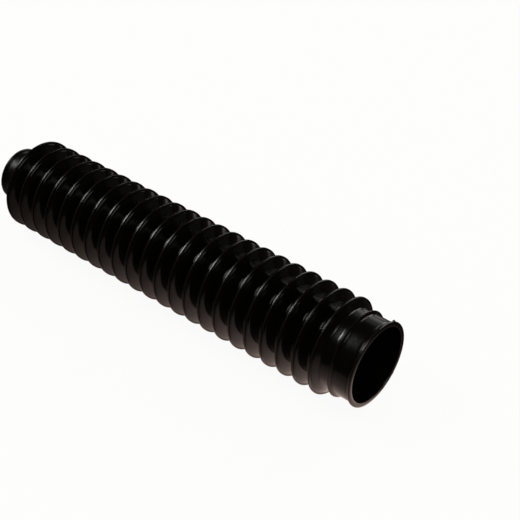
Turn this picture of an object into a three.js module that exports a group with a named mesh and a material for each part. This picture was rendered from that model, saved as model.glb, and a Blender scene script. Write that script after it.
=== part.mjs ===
// Fork gaiter: a black rubber bellows that covers the sliding part of a motorcycle's front fork.
// It is moulded in one piece: a wide plain collar at one end, a narrow one at the other,
// and a row of ring folds between them. Lengths are in millimetres and angles in radians.
//
// The gaiter lies on its side on the plane Z = 0, with its axis along X.
// The wide collar's mouth faces +X and the narrow collar's mouth faces -X.
// The origin is on the plane, below the middle of the length.

import * as THREE from "three";

// Ring folds
const fold_count = 22;
const fold_pitch = 14.8;
const crest_radius_wide = 38.75;
const crest_radius_narrow = 37.45;
const groove_depth = 10.0;
const crest_round = 2.0;
const groove_round = 0.8;
const fold_wall = 1.7;

// Thin raised lip round the top of every crest
const lip_height = 1.5;
const lip_foot_width = 1.9;
const lip_top_width = 1.0;

// Wide collar, which clamps round the fork's lower leg
const wide_bore_radius = 30.0;
const wide_collar_wall = 2.0;
const wide_mouth_to_crest = 32.0;
const wide_bead_height = 1.8;
const wide_bead_width = 3.2;
const wide_foot_round = 1.6;
const rib_station = 18.4;
const rib_height = 2.3;
const rib_foot_width = 3.0;
const rib_top_width = 0.9;

// Narrow collar, which clamps round the fork tube
const narrow_bore_radius = 18.5;
const narrow_collar_wall = 2.0;
const narrow_mouth_to_crest = 24.6;
const narrow_bead_height = 1.7;
const narrow_bead_width = 3.0;
const narrow_foot_round = 1.6;

// Edge break at the inner rim of both mouths
const rim_break = 0.4;

// Sides of the turned shape, set so that a side and not a corner is at the bottom:
// that narrow flat is where the soft rings are pressed against the ground
const side_count = 24;

const rubber = new THREE.MeshStandardMaterial({ color: 0x0b0b0c, roughness: 0.28, metalness: 0.0 });

// Places along the axis, measured from the wide mouth
const first_crest = wide_mouth_to_crest;
const last_crest = first_crest + (fold_count - 1) * fold_pitch;
const total_length = last_crest + narrow_mouth_to_crest;
const wide_collar_radius = wide_bore_radius + wide_collar_wall;
const narrow_collar_radius = narrow_bore_radius + narrow_collar_wall;

// A profile point: s is the distance from the wide mouth and r the distance from the axis.
function at(s, r) {
  return { s, r };
}

// Points on an arc about a centre, from one direction to another.
// Direction 0 points towards the narrow end and a quarter turn points away from the axis.
function arc(centre_s, centre_r, radius, from, to, steps) {
  const points = [];
  for (let i = 0; i <= steps; i += 1) {
    const angle = from + ((to - from) * i) / steps;
    points.push(at(centre_s + radius * Math.cos(angle), centre_r + radius * Math.sin(angle)));
  }
  return points;
}

// Two corners of the straight-sided path that touches an arc at its start, its middle and its end
function corners(centre_s, centre_r, radius, from, to) {
  const quarter = (to - from) / 4;
  return [from + quarter, to - quarter].map((angle) =>
    at(centre_s + (radius / Math.cos(quarter)) * Math.cos(angle), centre_r + (radius / Math.cos(quarter)) * Math.sin(angle)),
  );
}

// Place and outer radius of one crest, measured on its lip: the rings taper slightly towards the narrow end.
function crestPlace(index) {
  const share = fold_count > 1 ? index / (fold_count - 1) : 0;
  const radius = crest_radius_wide + (crest_radius_narrow - crest_radius_wide) * share;
  return at(first_crest + index * fold_pitch, radius);
}

// Place and outer radius of the groove that follows one crest.
function groovePlace(index) {
  const near = crestPlace(index);
  const far = crestPlace(index + 1);
  return at((near.s + far.s) / 2, (near.r + far.r) / 2 - groove_depth);
}

// Centre of a crest's round, which lies under the lip
function roundCentre(crest_r) {
  return crest_r - lip_height - crest_round;
}

// Direction that a flank faces, as an angle above the axis, found from the line
// that touches both the crest's round and the groove's round.
function flankAngle() {
  const across = fold_pitch / 2;
  const down = groove_depth - lip_height - crest_round - groove_round;
  return Math.acos((crest_round + groove_round) / Math.hypot(across, down)) - Math.atan2(down, across);
}

const flank = flankAngle();

// Distance along the axis from an end crest to the start of the round at its flank's foot.
function footReach(crest_r, collar_r, foot_round) {
  const fall = roundCentre(crest_r) - collar_r - foot_round;
  return (crest_round + foot_round + Math.sin(flank) * fall) / Math.cos(flank);
}

// The same distance on the inner surface, where both lines lie one wall further in.
function innerFootReach(crest_r, bore_r, foot_round) {
  const fall = hollowRadius(crest_r) - bore_r - foot_round;
  return (foot_round + Math.sin(flank) * fall) / Math.cos(flank);
}

// Radius at which the two inner flanks of a crest meet
function hollowRadius(crest_r) {
  return roundCentre(crest_r) - (fold_wall - crest_round) / Math.sin(flank);
}

// Outer surface of a mouth: flat rim, then a rounded bead that runs out on the collar.
function beadPoints(collar_r, height, width) {
  return [
    at(0, collar_r + height * 0.45),
    at(width * 0.16, collar_r + height * 0.9),
    at(width * 0.42, collar_r + height),
    at(width * 0.72, collar_r + height * 0.7),
    at(width, collar_r),
  ];
}

// Outer surface of one crest: a round with the thin lip standing on it.
function crestPoints(crest) {
  const centre = roundCentre(crest.r);
  const foot_r = centre + Math.sqrt(crest_round ** 2 - (lip_foot_width / 2) ** 2);
  return [
    at(crest.s - crest_round * Math.cos(flank), centre + crest_round * Math.sin(flank)),
    at(crest.s - lip_foot_width / 2, foot_r),
    at(crest.s - lip_top_width / 2, crest.r),
    at(crest.s + lip_top_width / 2, crest.r),
    at(crest.s + lip_foot_width / 2, foot_r),
    at(crest.s + crest_round * Math.cos(flank), centre + crest_round * Math.sin(flank)),
  ];
}

// Thin raised rib round the wide collar, a stop for the clamping band.
function ribPoints() {
  const top = wide_collar_radius + rib_height;
  const shoulder = top - rib_top_width * 0.3;
  return [
    at(rib_station - rib_foot_width / 2, wide_collar_radius),
    at(rib_station - rib_top_width / 2, shoulder),
    at(rib_station, top),
    at(rib_station + rib_top_width / 2, shoulder),
    at(rib_station + rib_foot_width / 2, wide_collar_radius),
  ];
}

// Outer surface from the wide mouth to the narrow one.
function outerPoints() {
  const first = crestPlace(0);
  const last = crestPlace(fold_count - 1);
  const points = beadPoints(wide_collar_radius, wide_bead_height, wide_bead_width);
  points.push(...ribPoints());
  // Foot of the first flank, which faces the wide mouth
  const foot = first.s - footReach(first.r, wide_collar_radius, wide_foot_round);
  points.push(...arc(foot, wide_collar_radius + wide_foot_round, wide_foot_round, -Math.PI / 2, -flank, 2));
  // Crests and the grooves between them
  for (let i = 0; i < fold_count; i += 1) {
    points.push(...crestPoints(crestPlace(i)));
    if (i < fold_count - 1) {
      const groove = groovePlace(i);
      points.push(...corners(groove.s, groove.r + groove_round, groove_round, Math.PI + flank, 2 * Math.PI - flank));
    }
  }
  // Foot of the last flank, which faces the narrow mouth
  const far_foot = last.s + footReach(last.r, narrow_collar_radius, narrow_foot_round);
  points.push(
    ...arc(far_foot, narrow_collar_radius + narrow_foot_round, narrow_foot_round, Math.PI + flank, 1.5 * Math.PI, 2),
  );
  const bead = beadPoints(narrow_collar_radius, narrow_bead_height, narrow_bead_width);
  for (const point of bead.reverse()) {
    points.push(at(total_length - point.s, point.r));
  }
  return points;
}

// Inner surface from the narrow mouth back to the wide one.
function innerPoints() {
  const first = crestPlace(0);
  const last = crestPlace(fold_count - 1);
  const points = [at(total_length, narrow_bore_radius + rim_break), at(total_length - rim_break, narrow_bore_radius)];
  const far_round = narrow_foot_round + fold_wall;
  const far_foot = last.s + innerFootReach(last.r, narrow_bore_radius, far_round);
  points.push(...corners(far_foot, narrow_bore_radius + far_round, far_round, 1.5 * Math.PI, Math.PI + flank));
  const ridge_round = groove_round + fold_wall;
  for (let i = fold_count - 1; i >= 0; i -= 1) {
    const crest = crestPlace(i);
    points.push(at(crest.s, hollowRadius(crest.r)));
    if (i > 0) {
      const groove = groovePlace(i - 1);
      points.push(...corners(groove.s, groove.r + groove_round, ridge_round, 2 * Math.PI - flank, Math.PI + flank));
    }
  }
  const near_round = wide_foot_round + fold_wall;
  const foot = first.s - innerFootReach(first.r, wide_bore_radius, near_round);
  points.push(...corners(foot, wide_bore_radius + near_round, near_round, -flank, -Math.PI / 2));
  points.push(at(rim_break, wide_bore_radius), at(0, wide_bore_radius + rim_break));
  return points;
}

// The whole section, closed on itself and turned about the axis.
// It runs towards the narrow mouth on the inside and back on the outside, so its faces point out.
function gaiterGeometry() {
  const section = [...outerPoints(), ...innerPoints()].reverse();
  section.push(section[0]);
  const profile = section.map((point) => new THREE.Vector2(point.r, total_length / 2 - point.s));
  return new THREE.LatheGeometry(profile, side_count, Math.PI / side_count);
}

const gaiter = new THREE.Mesh(gaiterGeometry(), rubber);
gaiter.name = "gaiter";
gaiter.rotation.z = -Math.PI / 2;
gaiter.position.z = crest_radius_wide * Math.cos(Math.PI / side_count);

const part = new THREE.Group();
part.name = "fork_gaiter";
part.add(gaiter);

export default part;
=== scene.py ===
"""Fork gaiter: the moulded rubber bellows, its finish, and the studio that it is shown in.

Lengths are in metres. The gaiter lies along X with its wide mouth towards +X.
"""

import math

import bpy
from mathutils import Matrix, Vector


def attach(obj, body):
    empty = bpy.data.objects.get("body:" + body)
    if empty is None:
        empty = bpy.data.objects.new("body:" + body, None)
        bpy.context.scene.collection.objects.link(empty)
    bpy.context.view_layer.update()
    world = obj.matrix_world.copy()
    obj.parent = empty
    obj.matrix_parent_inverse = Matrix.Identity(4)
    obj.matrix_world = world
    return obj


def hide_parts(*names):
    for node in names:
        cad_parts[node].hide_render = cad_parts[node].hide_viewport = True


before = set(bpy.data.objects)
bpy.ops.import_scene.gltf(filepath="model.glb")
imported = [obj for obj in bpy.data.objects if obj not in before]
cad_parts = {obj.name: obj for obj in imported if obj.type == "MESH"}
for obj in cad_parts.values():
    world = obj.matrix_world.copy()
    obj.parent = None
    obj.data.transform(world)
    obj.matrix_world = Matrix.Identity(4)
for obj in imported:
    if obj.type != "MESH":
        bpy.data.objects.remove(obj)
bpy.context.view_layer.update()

bl_info = {
    "name": "Fork gaiter",
    "version": (1, 0, 0),
    "blender": (4, 5, 0),
    "location": "View3D > Sidebar > Gaiter",
    "description": "Models a rubber fork gaiter with its ring folds and collars",
    "category": "Add Mesh",
}

MM = 0.001
BODY = "root"
NODE = "gaiter"


# ---------------------------------------------------------------- sizes

def length(name, description, millimetres):
    """A length property, given in millimetres and kept in metres."""
    return bpy.props.FloatProperty(
        name=name, description=description, default=millimetres * MM, unit="LENGTH", subtype="DISTANCE", precision=5
    )


def share(name, description, default):
    """A number from 0 to 1."""
    return bpy.props.FloatProperty(name=name, description=description, default=default, min=0, max=1)


def colour_of(name, description, default):
    """A colour, in linear red, green and blue."""
    return bpy.props.FloatVectorProperty(
        name=name, description=description, default=default, size=3, subtype="COLOR", min=0, max=1
    )


class GaiterFolds(bpy.types.PropertyGroup):
    """Sizes of the ring folds."""

    count: bpy.props.IntProperty(name="Folds", description="Number of rings", default=22, min=2)
    pitch: length("Pitch", "Distance from one crest to the next", 14.8)
    crest_radius_wide: length("Wide crest radius", "Outer radius of the ring beside the wide collar", 38.75)
    crest_radius_narrow: length("Narrow crest radius", "Outer radius of the ring beside the narrow collar", 37.45)
    groove_depth: length("Groove depth", "Depth of a groove below the crests beside it", 10.0)
    crest_round: length("Crest rounding", "Radius of the rounding on a crest, under its lip", 2.0)
    groove_round: length("Groove rounding", "Radius of the rounding in a groove", 0.8)
    wall: length("Fold wall", "Thickness of the rubber in the folds", 1.7)
    hollow_round: length("Hollow rounding", "Radius of the rounding inside a crest", 0.3)
    lip_height: length("Lip height", "How far the thin lip stands up from the crest", 1.5)
    lip_width: length("Lip width", "Width of the thin lip on the crest", 1.6)
    lip_edge: length("Lip edge", "Radius of the two rounded edges of the lip", 0.25)


class GaiterCollars(bpy.types.PropertyGroup):
    """Sizes of the two plain collars."""

    wide_bore: length("Wide bore radius", "Inner radius of the wide collar", 30.0)
    wide_wall: length("Wide wall", "Thickness of the wide collar", 2.0)
    wide_reach: length("Wide reach", "Distance from the wide mouth to the first crest", 32.0)
    wide_bead_height: length("Wide bead height", "How far the wide mouth's bead stands out", 1.8)
    wide_bead_width: length("Wide bead width", "Width of the wide mouth's bead", 3.2)
    rib_station: length("Rib station", "Distance from the wide mouth to the rib", 18.4)
    rib_height: length("Rib height", "How far the rib stands out", 2.3)
    rib_foot: length("Rib foot", "Width of the rib at its foot", 3.0)
    narrow_bore: length("Narrow bore radius", "Inner radius of the narrow collar", 18.5)
    narrow_wall: length("Narrow wall", "Thickness of the narrow collar", 2.0)
    narrow_reach: length("Narrow reach", "Distance from the last crest to the narrow mouth", 24.6)
    narrow_bead_height: length("Narrow bead height", "How far the narrow mouth's bead stands out", 1.7)
    narrow_bead_width: length("Narrow bead width", "Width of the narrow mouth's bead", 3.0)
    foot_round: length("Foot rounding", "Radius where a collar meets its flank", 1.6)
    axis_height: length("Axis height", "Height of the gaiter's axis above the ground", 38.418)
    sides: bpy.props.IntProperty(name="Sides", description="Steps of the turned surface", default=128, min=24)


class GaiterFinish(bpy.types.PropertyGroup):
    """Colour and gloss of the rubber."""

    colour: colour_of("Rubber", "Colour of the rubber", (0.0013, 0.0012, 0.001))
    worn_colour: colour_of("Worn edge", "Colour of the rubber on its thin edges", (0.005, 0.0047, 0.0043))
    roughness: share("Roughness", "Roughness of clean rubber", 0.12)
    edge_roughness: share("Edge roughness", "Roughness of the thin edges", 0.2)
    wide_roughness: share("Wide collar roughness", "Roughness of the wide collar", 0.18)
    narrow_roughness: share("Narrow collar roughness", "Roughness of the narrow collar", 0.3)


class StudioSettings(bpy.types.PropertyGroup):
    """Camera, lamps and floor."""

    lens: bpy.props.FloatProperty(name="Lens", description="Focal length of the camera in millimetres", default=90.43)
    camera_place: bpy.props.FloatVectorProperty(
        name="Camera", description="Place of the camera", default=(0.53927, -0.56694, 0.68303),
        size=3, subtype="TRANSLATION",
    )
    floor_size: length("Floor size", "Side of the square floor", 8000.0)
    ambient: share("Ambient", "Strength of the soft light from all round", 0.5)
    lamp_distance: length("Lamp distance", "Distance of the lamps from the gaiter", 6000.0)


# ---------------------------------------------------------------- the section

def arc(centre, radius, start, stop, steps):
    """Points (s, r) on an arc. Direction 0 points towards the narrow end, a quarter turn away from the axis."""
    points = []
    for i in range(steps + 1):
        angle = start + (stop - start) * i / steps
        points.append((centre[0] + radius * math.cos(angle), centre[1] + radius * math.sin(angle)))
    return points


def line(start, stop, steps):
    """Points between two points, without the two ends."""
    return [
        (start[0] + (stop[0] - start[0]) * i / steps, start[1] + (stop[1] - start[1]) * i / steps)
        for i in range(1, steps)
    ]


def flat_line(start, stop):
    """Two points close to a line's ends, which keep its shading flat beside a rounding."""
    return [
        (start[0] + (stop[0] - start[0]) * part, start[1] + (stop[1] - start[1]) * part) for part in (0.05, 0.95)
    ]


class Section:
    """Works out the gaiter's section: s runs from the wide mouth and r from the axis."""

    def __init__(self, folds, collars):
        self.f = folds
        self.c = collars
        across = folds.pitch / 2
        down = folds.groove_depth - folds.lip_height - folds.crest_round - folds.groove_round
        rounds = folds.crest_round + folds.groove_round
        self.flank = math.acos(rounds / math.hypot(across, down)) - math.atan2(down, across)
        self.wide_r = collars.wide_bore + collars.wide_wall
        self.narrow_r = collars.narrow_bore + collars.narrow_wall
        self.total = collars.wide_reach + (folds.count - 1) * folds.pitch + collars.narrow_reach

    def crest(self, index):
        """Place and outer radius of one ring."""
        taper = self.f.crest_radius_narrow - self.f.crest_radius_wide
        radius = self.f.crest_radius_wide + taper * index / (self.f.count - 1)
        return self.c.wide_reach + index * self.f.pitch, radius

    def groove(self, index):
        """Place and radius of the groove behind one ring."""
        near, far = self.crest(index), self.crest(index + 1)
        return (near[0] + far[0]) / 2, (near[1] + far[1]) / 2 - self.f.groove_depth

    def round_centre(self, crest_r):
        """Radius at which a crest's rounding has its centre, under the lip."""
        return crest_r - self.f.lip_height - self.f.crest_round

    def foot_reach(self, crest_r, collar_r):
        fall = self.round_centre(crest_r) - collar_r - self.c.foot_round
        return (self.f.crest_round + self.c.foot_round + math.sin(self.flank) * fall) / math.cos(self.flank)

    def hollow(self, crest_r):
        step = self.f.wall + self.f.hollow_round - self.f.crest_round
        return self.round_centre(crest_r) - step / math.sin(self.flank)

    def inner_foot_reach(self, crest_r, bore_r, foot_round):
        fall = self.hollow(crest_r) - bore_r - foot_round
        return (self.f.hollow_round + foot_round + math.sin(self.flank) * fall) / math.cos(self.flank)

    def lipped_crest(self, index):
        """A crest from flank to flank: a rounded shoulder, the thin lip on its top, and the other shoulder."""
        f = self.f
        s, r = self.crest(index)
        centre, half = self.round_centre(r), f.lip_width / 2
        # The shoulder ends a quarter wider than the lip, and a small hollow leads up to the lip's side
        foot_angle = math.acos(1.25 * half / f.crest_round)
        foot_r = centre + f.crest_round * math.sin(foot_angle)
        shoulder = arc((0.0, centre), f.crest_round, math.pi - self.flank, math.pi - foot_angle, 2)
        height = r - foot_r
        side = [(-1.02 * half, foot_r + 0.12 * height), (-half, foot_r + 0.35 * height)]
        # The top is nearly flat between two small rounded edges
        edge = f.lip_edge
        turn = arc((edge - half, r - 0.01 * MM - edge), edge, math.pi, math.pi / 2, 2)
        left = shoulder + side + turn + [(edge - half + 0.1 * MM, r)]
        return [(s + a, b) for a, b in left] + [(s - a, b) for a, b in reversed(left)]

    def bead(self, collar_r, height, width):
        """Rounded mouth bead with the fine groove that the mould leaves behind it."""
        top = collar_r + height
        edge = [(0.42 * MM, top - 0.2 * MM), (0.72 * MM, top - 0.05 * MM)]
        # Shares of the bead's width and height
        back = [(0.38, 1.0), (0.55, 0.94), (0.75, 0.65), (0.9, 0.12), (1.0, -0.06), (1.12, -0.08), (1.28, 0.0)]
        return edge + [(width * a, collar_r + height * b) for a, b in back]

    def rim(self, bore_r, collar_r, height):
        """Slightly domed end face of a mouth, from its bore to its bead, and the rounded inner edge."""
        low, high = bore_r + 0.25 * MM, collar_r + height - 0.38 * MM
        middle, reach = (low + high) / 2, (high - low) / 2
        crown = 0.26 * MM
        radius = (reach * reach + crown * crown) / (2 * crown)
        sweep = math.asin(reach / radius)
        face = arc((radius, middle), radius, math.pi + sweep, math.pi - sweep, 5)
        edge = (face[0][0] + 0.3 * MM, bore_r)
        return [(edge[0] + 1.2 * MM, bore_r), edge, (face[0][0] + 0.06 * MM, bore_r + 0.08 * MM)] + face

    def rib(self):
        """The raised rib round the wide collar, in shares of its foot's width and of its height."""
        s, h, w = self.c.rib_station, self.c.rib_height, self.c.rib_foot
        near = [(-0.62, 0.0), (-0.5, 0.05), (-0.3, 0.4), (-0.18, 0.82), (-0.1, 0.96)]
        shape = near + [(0.0, 1.0)] + [(-a, b) for a, b in reversed(near)]
        return [(s + w * a, self.wide_r + h * b) for a, b in shape]

    def outer(self):
        """The outer surface, from the wide mouth to the narrow one."""
        f, c, t = self.f, self.c, self.flank
        first, last = self.crest(0), self.crest(f.count - 1)
        points = self.bead(self.wide_r, c.wide_bead_height, c.wide_bead_width)
        rib = self.rib()
        points += line(points[-1], rib[0], 6) + rib
        foot_s = first[0] - self.foot_reach(first[1], self.wide_r)
        foot = arc((foot_s, self.wide_r + c.foot_round), c.foot_round, -math.pi / 2, -t, 5)
        points += line(points[-1], foot[0], 3) + foot
        for i in range(f.count):
            crest = self.lipped_crest(i)
            points += flat_line(points[-1], crest[0]) + crest
            if i < f.count - 1:
                s, r = self.groove(i)
                groove = arc((s, r + f.groove_round), f.groove_round, math.pi + t, 2 * math.pi - t, 3)
                points += flat_line(points[-1], groove[0]) + groove
        foot_s = last[0] + self.foot_reach(last[1], self.narrow_r)
        foot = arc((foot_s, self.narrow_r + c.foot_round), c.foot_round, math.pi + t, 1.5 * math.pi, 5)
        points += flat_line(points[-1], foot[0]) + foot
        bead = self.bead(self.narrow_r, c.narrow_bead_height, c.narrow_bead_width)
        bead = [(self.total - s, r) for s, r in reversed(bead)]
        points += line(points[-1], bead[0], 4) + bead
        return points

    def inner(self):
        """The inner surface, from the narrow mouth back to the wide one."""
        f, c, t = self.f, self.c, self.flank
        first, last = self.crest(0), self.crest(f.count - 1)
        rim = self.rim(c.narrow_bore, self.narrow_r, c.narrow_bead_height)
        points = [(self.total - s, r) for s, r in reversed(rim)]
        far_round = c.foot_round + f.wall
        foot_s = last[0] + self.inner_foot_reach(last[1], c.narrow_bore, far_round)
        points += arc((foot_s, c.narrow_bore + far_round), far_round, 1.5 * math.pi, math.pi + t, 4)
        for i in range(f.count - 1, -1, -1):
            s, r = self.crest(i)
            points += arc((s, self.hollow(r)), f.hollow_round, t, math.pi - t, 1)
            if i > 0:
                s, r = self.groove(i - 1)
                points += arc((s, r + f.groove_round), f.groove_round + f.wall, 2 * math.pi - t, math.pi + t, 3)
        near_round = c.foot_round + f.wall
        foot_s = first[0] - self.inner_foot_reach(first[1], c.wide_bore, near_round)
        points += arc((foot_s, c.wide_bore + near_round), near_round, -t, -math.pi / 2, 4)
        return points + self.rim(c.wide_bore, self.wide_r, c.wide_bead_height)


# ---------------------------------------------------------------- modelling helpers

def deselect_all():
    """Nothing stays selected, so that the next operator acts on the new piece only."""
    if bpy.context.object and bpy.context.object.mode != "OBJECT":
        bpy.ops.object.mode_set(mode="OBJECT")
    bpy.ops.object.select_all(action="DESELECT")


def select_vertices(piece, wanted):
    """Selects, in object mode, the vertices for which wanted(place) is true, then returns how many."""
    bpy.ops.object.mode_set(mode="OBJECT")
    mesh = piece.data
    for polygon in mesh.polygons:
        polygon.select = False
    for edge in mesh.edges:
        edge.select = False
    count = 0
    for vertex in mesh.vertices:
        vertex.select = wanted(vertex.co)
        count += vertex.select
    bpy.ops.object.mode_set(mode="EDIT")
    bpy.ops.mesh.select_mode(type="VERT")
    return count


def draw_section(points, total, axis_height):
    """Extrudes one vertex along the section's points and closes the loop."""
    deselect_all()
    places = [Vector((total / 2 - s, 0.0, axis_height + r)) for s, r in points]
    bpy.ops.mesh.primitive_plane_add(size=2 * MM, location=(0, 0, 0))
    piece = bpy.context.object
    bpy.ops.object.mode_set(mode="EDIT")
    bpy.ops.mesh.merge(type="CENTER")
    bpy.ops.transform.translate(value=places[0])
    for before, after in zip(places, places[1:]):
        bpy.ops.mesh.extrude_region_move(TRANSFORM_OT_translate={"value": after - before})
    bpy.ops.mesh.select_all(action="SELECT")
    bpy.ops.object.mode_set(mode="OBJECT")
    ends = (places[0], places[-1])
    select_vertices(piece, lambda co: min((co - end).length for end in ends) < 1e-6)
    bpy.ops.mesh.edge_face_add()
    return piece


# ---------------------------------------------------------------- materials

def new_material(name):
    material = bpy.data.materials.new(name)
    material.use_nodes = True
    tree = material.node_tree
    tree.nodes.clear()
    return material, tree


def maths(tree, operation, *values):
    """A Math node fed with the sockets and numbers given."""
    node = tree.nodes.new("ShaderNodeMath")
    node.operation = operation
    for socket, value in zip(node.inputs, values):
        if isinstance(value, (int, float)):
            socket.default_value = value
        else:
            tree.links.new(value, socket)
    return node.outputs[0]


def plus(tree, first, second):
    return maths(tree, "ADD", first, second)


def times(tree, first, second):
    return maths(tree, "MULTIPLY", first, second)


def reach(tree, across, up):
    """Length of the diagonal over two distances."""
    return maths(tree, "POWER", plus(tree, times(tree, across, across), times(tree, up, up)), 0.5)


def blend_value(tree, part, low, high):
    """A number that goes from low to high while part goes from 0 to 1."""
    return plus(tree, times(tree, part, high - low), low)


def noise(tree, place, scale, detail=2.0, rough=0.5):
    node = tree.nodes.new("ShaderNodeTexNoise")
    node.inputs["Scale"].default_value = scale
    node.inputs["Detail"].default_value = detail
    node.inputs["Roughness"].default_value = rough
    tree.links.new(place, node.inputs["Vector"])
    return node.outputs["Fac"]


def rise(tree, value, start, stop):
    """A smooth step from 0 to 1 between two values."""
    node = tree.nodes.new("ShaderNodeMapRange")
    node.interpolation_type = "SMOOTHSTEP"
    tree.links.new(value, node.inputs["Value"])
    node.inputs["From Min"].default_value = start
    node.inputs["From Max"].default_value = stop
    return node.outputs["Result"]


def rubber_material(finish, section):
    """Glossy moulded rubber: deep black flanks, duller thin edges, a little dust and a faint unevenness."""
    material, tree = new_material("moulded_rubber")
    nodes, links = tree.nodes, tree.links
    out = nodes.new("ShaderNodeOutputMaterial")
    shader = nodes.new("ShaderNodeBsdfPrincipled")
    links.new(shader.outputs["BSDF"], out.inputs["Surface"])
    place = nodes.new("ShaderNodeTexCoord").outputs["Object"]
    split = nodes.new("ShaderNodeSeparateXYZ")
    links.new(place, split.inputs[0])
    x, y, z = split.outputs
    up = maths(tree, "SUBTRACT", z, section.c.axis_height)
    radius = reach(tree, y, up)
    # The lips' tops stand above a cone that follows the rings' slight taper
    (near_s, near_r), (far_s, far_r) = section.crest(0), section.crest(section.f.count - 1)
    slope = (near_r - far_r) / (far_s - near_s)
    middle = near_r - slope * (section.total / 2 - near_s)
    below = maths(tree, "SUBTRACT", radius, plus(tree, times(tree, x, slope), middle))
    lip = rise(tree, below, -0.9 * MM, -0.4 * MM)
    # The bead and the rib stand above the wide collar
    collar_start = section.total / 2 - section.c.wide_reach * 0.75
    edge = times(tree, rise(tree, radius, section.wide_r + 0.9 * MM, section.wide_r + 1.5 * MM),
                 rise(tree, x, collar_start - 0.5 * MM, collar_start))
    thin = maths(tree, "MAXIMUM", lip, edge)
    # The collars are duller than the folds, the narrow one most of all
    wide_start, narrow_start = section.total / 2 - near_s, far_s - section.total / 2
    wide = rise(tree, x, wide_start + 2 * MM, wide_start + 5 * MM)
    narrow = rise(tree, times(tree, x, -1), narrow_start + 2 * MM, narrow_start + 5 * MM)
    patches = noise(tree, place, 55, 3)
    grain = noise(tree, place, 900, 3, 0.6)
    dust = rise(tree, noise(tree, place, 2300, 1), 0.7, 0.78)
    # Roughness: clean flanks, duller edges, uneven patches and specks
    clean = blend_value(tree, patches, finish.roughness * 0.75, finish.roughness * 1.35)
    collar = plus(tree, times(tree, wide, finish.wide_roughness - finish.roughness),
                  times(tree, narrow, finish.narrow_roughness - finish.roughness))
    worn = maths(tree, "MAXIMUM", times(tree, thin, finish.edge_roughness - finish.roughness), collar)
    specks = times(tree, dust, 0.12)
    links.new(plus(tree, plus(tree, clean, worn), specks), shader.inputs["Roughness"])
    # Colour: black, a shade greyer on the worn edges and the specks
    tone = nodes.new("ShaderNodeMix")
    tone.data_type = "RGBA"
    tone.inputs["A"].default_value = (*finish.colour, 1)
    tone.inputs["B"].default_value = (*finish.worn_colour, 1)
    links.new(plus(tree, times(tree, thin, 0.7), times(tree, dust, 0.3)), tone.inputs["Factor"])
    links.new(tone.outputs["Result"], shader.inputs["Base Color"])
    # Slight unevenness of the moulding and a very fine grain
    soft = nodes.new("ShaderNodeBump")
    soft.inputs["Strength"].default_value = 0.35
    soft.inputs["Distance"].default_value = 0.0004
    links.new(patches, soft.inputs["Height"])
    fine = nodes.new("ShaderNodeBump")
    fine.inputs["Strength"].default_value = 0.25
    fine.inputs["Distance"].default_value = 0.00002
    links.new(grain, fine.inputs["Height"])
    links.new(soft.outputs["Normal"], fine.inputs["Normal"])
    links.new(fine.outputs["Normal"], shader.inputs["Normal"])
    return material


# Share of plain white that the camera sees on the floor, whose paper keeps the shadow under it
CAMERA_WHITE = 0.94
# Near pool: its brightness at shares of its reach from the line under the axis, and its tint
POOL_HALF_LENGTH = 0.18
POOL_REACH = 0.25
POOL_STEPS = ((0.0, 1.0), (0.1, 0.58), (0.24, 0.28), (0.4, 0.17), (0.62, 0.13), (0.72, 0.03), (1.0, 0.02))
POOL_TINT = (1.0, 0.75, 0.67)
# It grows brighter towards the wide mouth, by so much for each metre, between these two strengths
POOL_GROWTH = 3.5
POOL_STRENGTH = (0.4, 1.35)
# Far pool: strength and tint, and where its band starts and ends along its direction
FAR_POOL_STRENGTH = 0.65
FAR_POOL_TINT = (1.0, 0.9, 0.87)
FAR_POOL_DIRECTION = (0.87, 0.5)
FAR_POOL_BAND = (0.08, 0.15, 0.19, 0.24)


def pool_colour(tree, away):
    """Colour of the near pool at a distance from the line under the axis."""
    pool = tree.nodes.new("ShaderNodeValToRGB")
    ramp = pool.color_ramp
    ramp.interpolation = "EASE"
    ramp.elements[0].position, ramp.elements[1].position = 0.0, 1.0
    for at, value in POOL_STEPS:
        element = ramp.elements[0] if at == 0 else ramp.elements[-1] if at == 1 else ramp.elements.new(at)
        element.color = (*(value * tint for tint in POOL_TINT), 1)
    tree.links.new(maths(tree, "DIVIDE", away, POOL_REACH), pool.inputs["Fac"])
    return pool.outputs["Color"]


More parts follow.
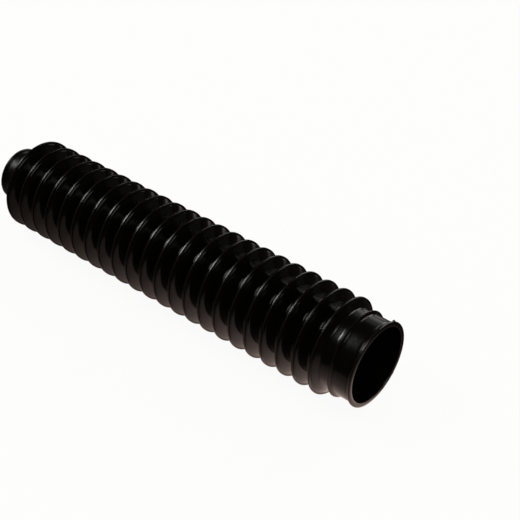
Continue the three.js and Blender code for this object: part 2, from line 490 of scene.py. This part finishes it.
def floor_material():
    """White floor that keeps the gaiter's soft shadow. In the gloss it shows as a pool of light round the gaiter."""
    material, tree = new_material("studio_floor")
    nodes, links = tree.nodes, tree.links
    out = nodes.new("ShaderNodeOutputMaterial")
    paper = nodes.new("ShaderNodeBsdfDiffuse")
    paper.inputs["Color"].default_value = (0.85, 0.85, 0.85, 1)
    white = nodes.new("ShaderNodeEmission")
    path = nodes.new("ShaderNodeLightPath")
    plain = nodes.new("ShaderNodeMixShader")
    links.new(times(tree, path.outputs["Is Camera Ray"], CAMERA_WHITE), plain.inputs["Fac"])
    links.new(paper.outputs["BSDF"], plain.inputs[1])
    links.new(white.outputs["Emission"], plain.inputs[2])
    place = nodes.new("ShaderNodeTexCoord")
    split = nodes.new("ShaderNodeSeparateXYZ")
    links.new(place.outputs["Object"], split.inputs[0])
    x, y, _ = split.outputs
    # Distance from the line under the gaiter's axis. The pool lies mostly on the camera's side
    beyond = maths(tree, "MAXIMUM", maths(tree, "SUBTRACT", maths(tree, "ABSOLUTE", x), POOL_HALF_LENGTH), 0)
    side = maths(tree, "MAXIMUM", times(tree, y, -1), times(tree, y, 3))
    near = nodes.new("ShaderNodeEmission")
    links.new(pool_colour(tree, reach(tree, beyond, side)), near.inputs["Color"])
    least, most = POOL_STRENGTH
    along = maths(tree, "MINIMUM", plus(tree, times(tree, x, POOL_GROWTH), 1), most)
    links.new(maths(tree, "MAXIMUM", along, least), near.inputs["Strength"])
    # The far pool lies behind the wide mouth, in a band that only the wide collar shows
    behind = plus(tree, times(tree, x, FAR_POOL_DIRECTION[0]), times(tree, y, FAR_POOL_DIRECTION[1]))
    far = nodes.new("ShaderNodeEmission")
    far.inputs["Color"].default_value = (*FAR_POOL_TINT, 1)
    band = maths(tree, "SUBTRACT", rise(tree, behind, *FAR_POOL_BAND[:2]), rise(tree, behind, *FAR_POOL_BAND[2:]))
    strength = times(tree, times(tree, band, rise(tree, y, 0.15, 0.3)), FAR_POOL_STRENGTH)
    links.new(strength, far.inputs["Strength"])
    lit = nodes.new("ShaderNodeAddShader")
    links.new(near.outputs["Emission"], lit.inputs[0])
    links.new(far.outputs["Emission"], lit.inputs[1])
    shown = nodes.new("ShaderNodeMixShader")
    mirrored = maths(tree, "MAXIMUM", path.outputs["Is Glossy Ray"], path.outputs["Is Transmission Ray"])
    links.new(mirrored, shown.inputs["Fac"])
    links.new(plain.outputs["Shader"], shown.inputs[1])
    links.new(lit.outputs["Shader"], shown.inputs[2])
    links.new(shown.outputs["Shader"], out.inputs["Surface"])
    return material


# ---------------------------------------------------------------- lamps

# Name, direction (turn from -Y towards +X, height above the floor), width and height, brightness, and lean if any.
# Angles are in degrees.
LAMPS = (
    ("left_panel", -80, 36, 18, 15, 3.4),
    ("left_upper_panel", -63.5, 53, 17, 4.5, 19.0, -30),
    ("left_top_panel", -82, 59, 10, 7, 3.0),
    ("left_low_strip", -93, 12, 8, 9, 3.0),
    ("overhead_panel", 26, 74, 20, 16, 2.4),
    ("right_top_panel", 60, 60, 18, 12, 2.4),
    ("right_panel", 78, 43, 30, 12, 0.9),
    ("right_back_panel", 145, 12, 30, 16, 0.04),
    ("back_right_panel", 171, 22, 14, 22, 0.6),
    ("back_low_panel", -172, 8, 15, 16, 2.0),
    ("back_upper_panel", -176, 34, 14, 26, 4.2),
    ("back_wide_panel", -160, 8, 24, 18, 0.65),
    ("back_dim_panel", -160, 26, 24, 16, 0.2),
)


def soft_lamp(name, distance, turn, height, width, tallness, brightness, lean=0):
    """A flat lamp that faces the gaiter. Its brightness is that of its surface, where 1 is white."""
    deselect_all()
    turn, height = math.radians(turn), math.radians(height)
    towards = Vector((math.sin(turn) * math.cos(height), -math.cos(turn) * math.cos(height), math.sin(height)))
    bpy.ops.object.light_add(type="AREA", location=towards * distance)
    lamp = bpy.context.object
    lamp.name = name
    facing = towards.to_track_quat("Z", "Y").to_matrix()
    lamp.rotation_euler = (facing @ Matrix.Rotation(math.radians(lean), 3, "Z")).to_euler()
    lamp.data.shape = "RECTANGLE"
    lamp.data.size = 2 * distance * math.tan(math.radians(width) / 2)
    lamp.data.size_y = 2 * distance * math.tan(math.radians(tallness) / 2)
    lamp.data.energy = brightness * math.pi * lamp.data.size * lamp.data.size_y
    lamp.visible_camera = False
    return lamp


# Tint of the soft light from all round, and the trace of it that the gloss shows
ROOM_TINT = (1.0, 0.93, 0.65)
ROOM_IN_GLOSS = 0.012


def studio_world(ambient):
    """White to the camera. Its soft light falls on all surfaces, and the gloss shows only a trace of it."""
    world = bpy.data.worlds.new("studio")
    world.use_nodes = True
    tree = world.node_tree
    tree.nodes.clear()
    out = tree.nodes.new("ShaderNodeOutputWorld")
    white = tree.nodes.new("ShaderNodeBackground")
    white.inputs["Color"].default_value = (1, 1, 1, 1)
    room = tree.nodes.new("ShaderNodeBackground")
    room.inputs["Color"].default_value = (*ROOM_TINT, 1)
    path = tree.nodes.new("ShaderNodeLightPath")
    seen = blend_value(tree, path.outputs["Is Diffuse Ray"], ROOM_IN_GLOSS, ambient)
    tree.links.new(seen, room.inputs["Strength"])
    mix = tree.nodes.new("ShaderNodeMixShader")
    tree.links.new(path.outputs["Is Camera Ray"], mix.inputs["Fac"])
    tree.links.new(room.outputs["Background"], mix.inputs[1])
    tree.links.new(white.outputs["Background"], mix.inputs[2])
    tree.links.new(mix.outputs["Shader"], out.inputs["Surface"])
    return world


# ---------------------------------------------------------------- operators

# Nibs of flash that the mould has left on the wide mouth's bead: degrees from the top towards +Y, height in metres
NIBS = ((34, 1.2 * MM), (139, 0.8 * MM), (161, 0.4 * MM))
NIB_INSET = 0.9 * MM
NIB_RADIUS = 0.95 * MM

# Edges that turn by more than this stay crisp
SMOOTH_ANGLE = math.radians(50)


class MESH_OT_gaiter_bellows(bpy.types.Operator):
    """Models the whole gaiter: both collars and the ring folds, in one skin."""

    bl_idname = "mesh.gaiter_bellows"
    bl_label = "Gaiter bellows"
    bl_options = {"REGISTER", "UNDO"}

    def execute(self, context):
        scene = context.scene
        folds, collars = scene.gaiter_folds, scene.gaiter_collars
        section = Section(folds, collars)
        points = section.outer() + section.inner()
        piece = draw_section(points, section.total, collars.axis_height)
        piece.name = piece.data.name = "gaiter_rubber"
        bpy.ops.mesh.select_all(action="SELECT")
        bpy.ops.mesh.spin(
            steps=collars.sides, angle=2 * math.pi, center=(0, 0, collars.axis_height), axis=(1, 0, 0)
        )
        bpy.ops.mesh.select_all(action="SELECT")
        bpy.ops.mesh.remove_doubles(threshold=1e-6)
        bpy.ops.mesh.normals_make_consistent(inside=False)
        # The soft rings are pressed flat where they lie on the ground
        if select_vertices(piece, lambda co: co.z < 0):
            bpy.ops.transform.resize(value=(1, 1, 0), center_override=(0, 0, 0))
        for turn, height in NIBS:
            out = Vector((0, math.sin(math.radians(turn)), math.cos(math.radians(turn))))
            middle = Vector((section.total / 2 - NIB_INSET, 0, collars.axis_height))
            tip = middle + out * (section.wide_r + collars.wide_bead_height)
            if not select_vertices(piece, lambda co: (co - tip).length < NIB_RADIUS):
                raise RuntimeError("the bead has no corner for a nib")
            bpy.ops.transform.translate(value=out * height)
        bpy.ops.object.mode_set(mode="OBJECT")
        bpy.ops.object.shade_smooth_by_angle(angle=SMOOTH_ANGLE)
        if len(piece.data.polygons) < collars.sides * len(points):
            raise RuntimeError("the gaiter's skin isn't whole")
        piece.data.materials.clear()
        piece.data.materials.append(rubber_material(scene.gaiter_finish, section))
        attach(piece, BODY)
        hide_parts(NODE)
        return {"FINISHED"}


# Directions of the picture's right and up
CAMERA_RIGHT = Vector((0.774831, 0.632168, 0.0))
CAMERA_UP = Vector((-0.402403, 0.493216, 0.771238))


class SCENE_OT_gaiter_studio(bpy.types.Operator):
    """Sets up the camera, the pale floor and the soft lamps."""

    bl_idname = "scene.gaiter_studio"
    bl_label = "Gaiter studio"
    bl_options = {"REGISTER", "UNDO"}

    def execute(self, context):
        scene = context.scene
        studio = scene.gaiter_studio
        deselect_all()
        bpy.ops.object.camera_add(location=studio.camera_place)
        camera = bpy.context.object
        camera.name = "camera"
        turn = Matrix((CAMERA_RIGHT, CAMERA_UP, CAMERA_RIGHT.cross(CAMERA_UP))).transposed().to_4x4()
        camera.matrix_world = Matrix.Translation(studio.camera_place) @ turn
        camera.data.sensor_fit = "HORIZONTAL"
        camera.data.sensor_width = 36
        camera.data.lens = studio.lens
        camera.data.clip_end = 100
        scene.camera = camera
        bpy.ops.mesh.primitive_plane_add(size=studio.floor_size, location=(0, 0, 0))
        floor = bpy.context.object
        floor.name = "floor"
        floor.data.materials.append(floor_material())
        for name, *lamp in LAMPS:
            soft_lamp(name, studio.lamp_distance, *lamp)
        scene.view_settings.view_transform = "Standard"
        scene.world = studio_world(studio.ambient)
        return {"FINISHED"}


class VIEW3D_PT_gaiter(bpy.types.Panel):
    """Lists the gaiter's operators and sizes."""

    bl_label = "Fork gaiter"
    bl_idname = "VIEW3D_PT_gaiter"
    bl_space_type = "VIEW_3D"
    bl_region_type = "UI"
    bl_category = "Gaiter"

    def draw(self, context):
        layout = self.layout
        for operator in (MESH_OT_gaiter_bellows, SCENE_OT_gaiter_studio):
            layout.operator(operator.bl_idname)
        for name in ("gaiter_folds", "gaiter_collars", "gaiter_finish", "gaiter_studio"):
            group = getattr(context.scene, name)
            box = layout.box()
            for key in group.bl_rna.properties.keys():
                if key not in ("rna_type", "name"):
                    box.prop(group, key)


GROUPS = {
    "gaiter_folds": GaiterFolds,
    "gaiter_collars": GaiterCollars,
    "gaiter_finish": GaiterFinish,
    "gaiter_studio": StudioSettings,
}
CLASSES = (*GROUPS.values(), MESH_OT_gaiter_bellows, SCENE_OT_gaiter_studio, VIEW3D_PT_gaiter)


def register():
    for cls in CLASSES:
        bpy.utils.register_class(cls)
    for name, group in GROUPS.items():
        setattr(bpy.types.Scene, name, bpy.props.PointerProperty(type=group))


def unregister():
    for name in GROUPS:
        delattr(bpy.types.Scene, name)
    for cls in reversed(CLASSES):
        bpy.utils.unregister_class(cls)


def main():
    register()
    bpy.ops.scene.gaiter_studio()
    bpy.ops.mesh.gaiter_bellows()
    bpy.context.view_layer.update()


if __name__ == "__main__":
    main()
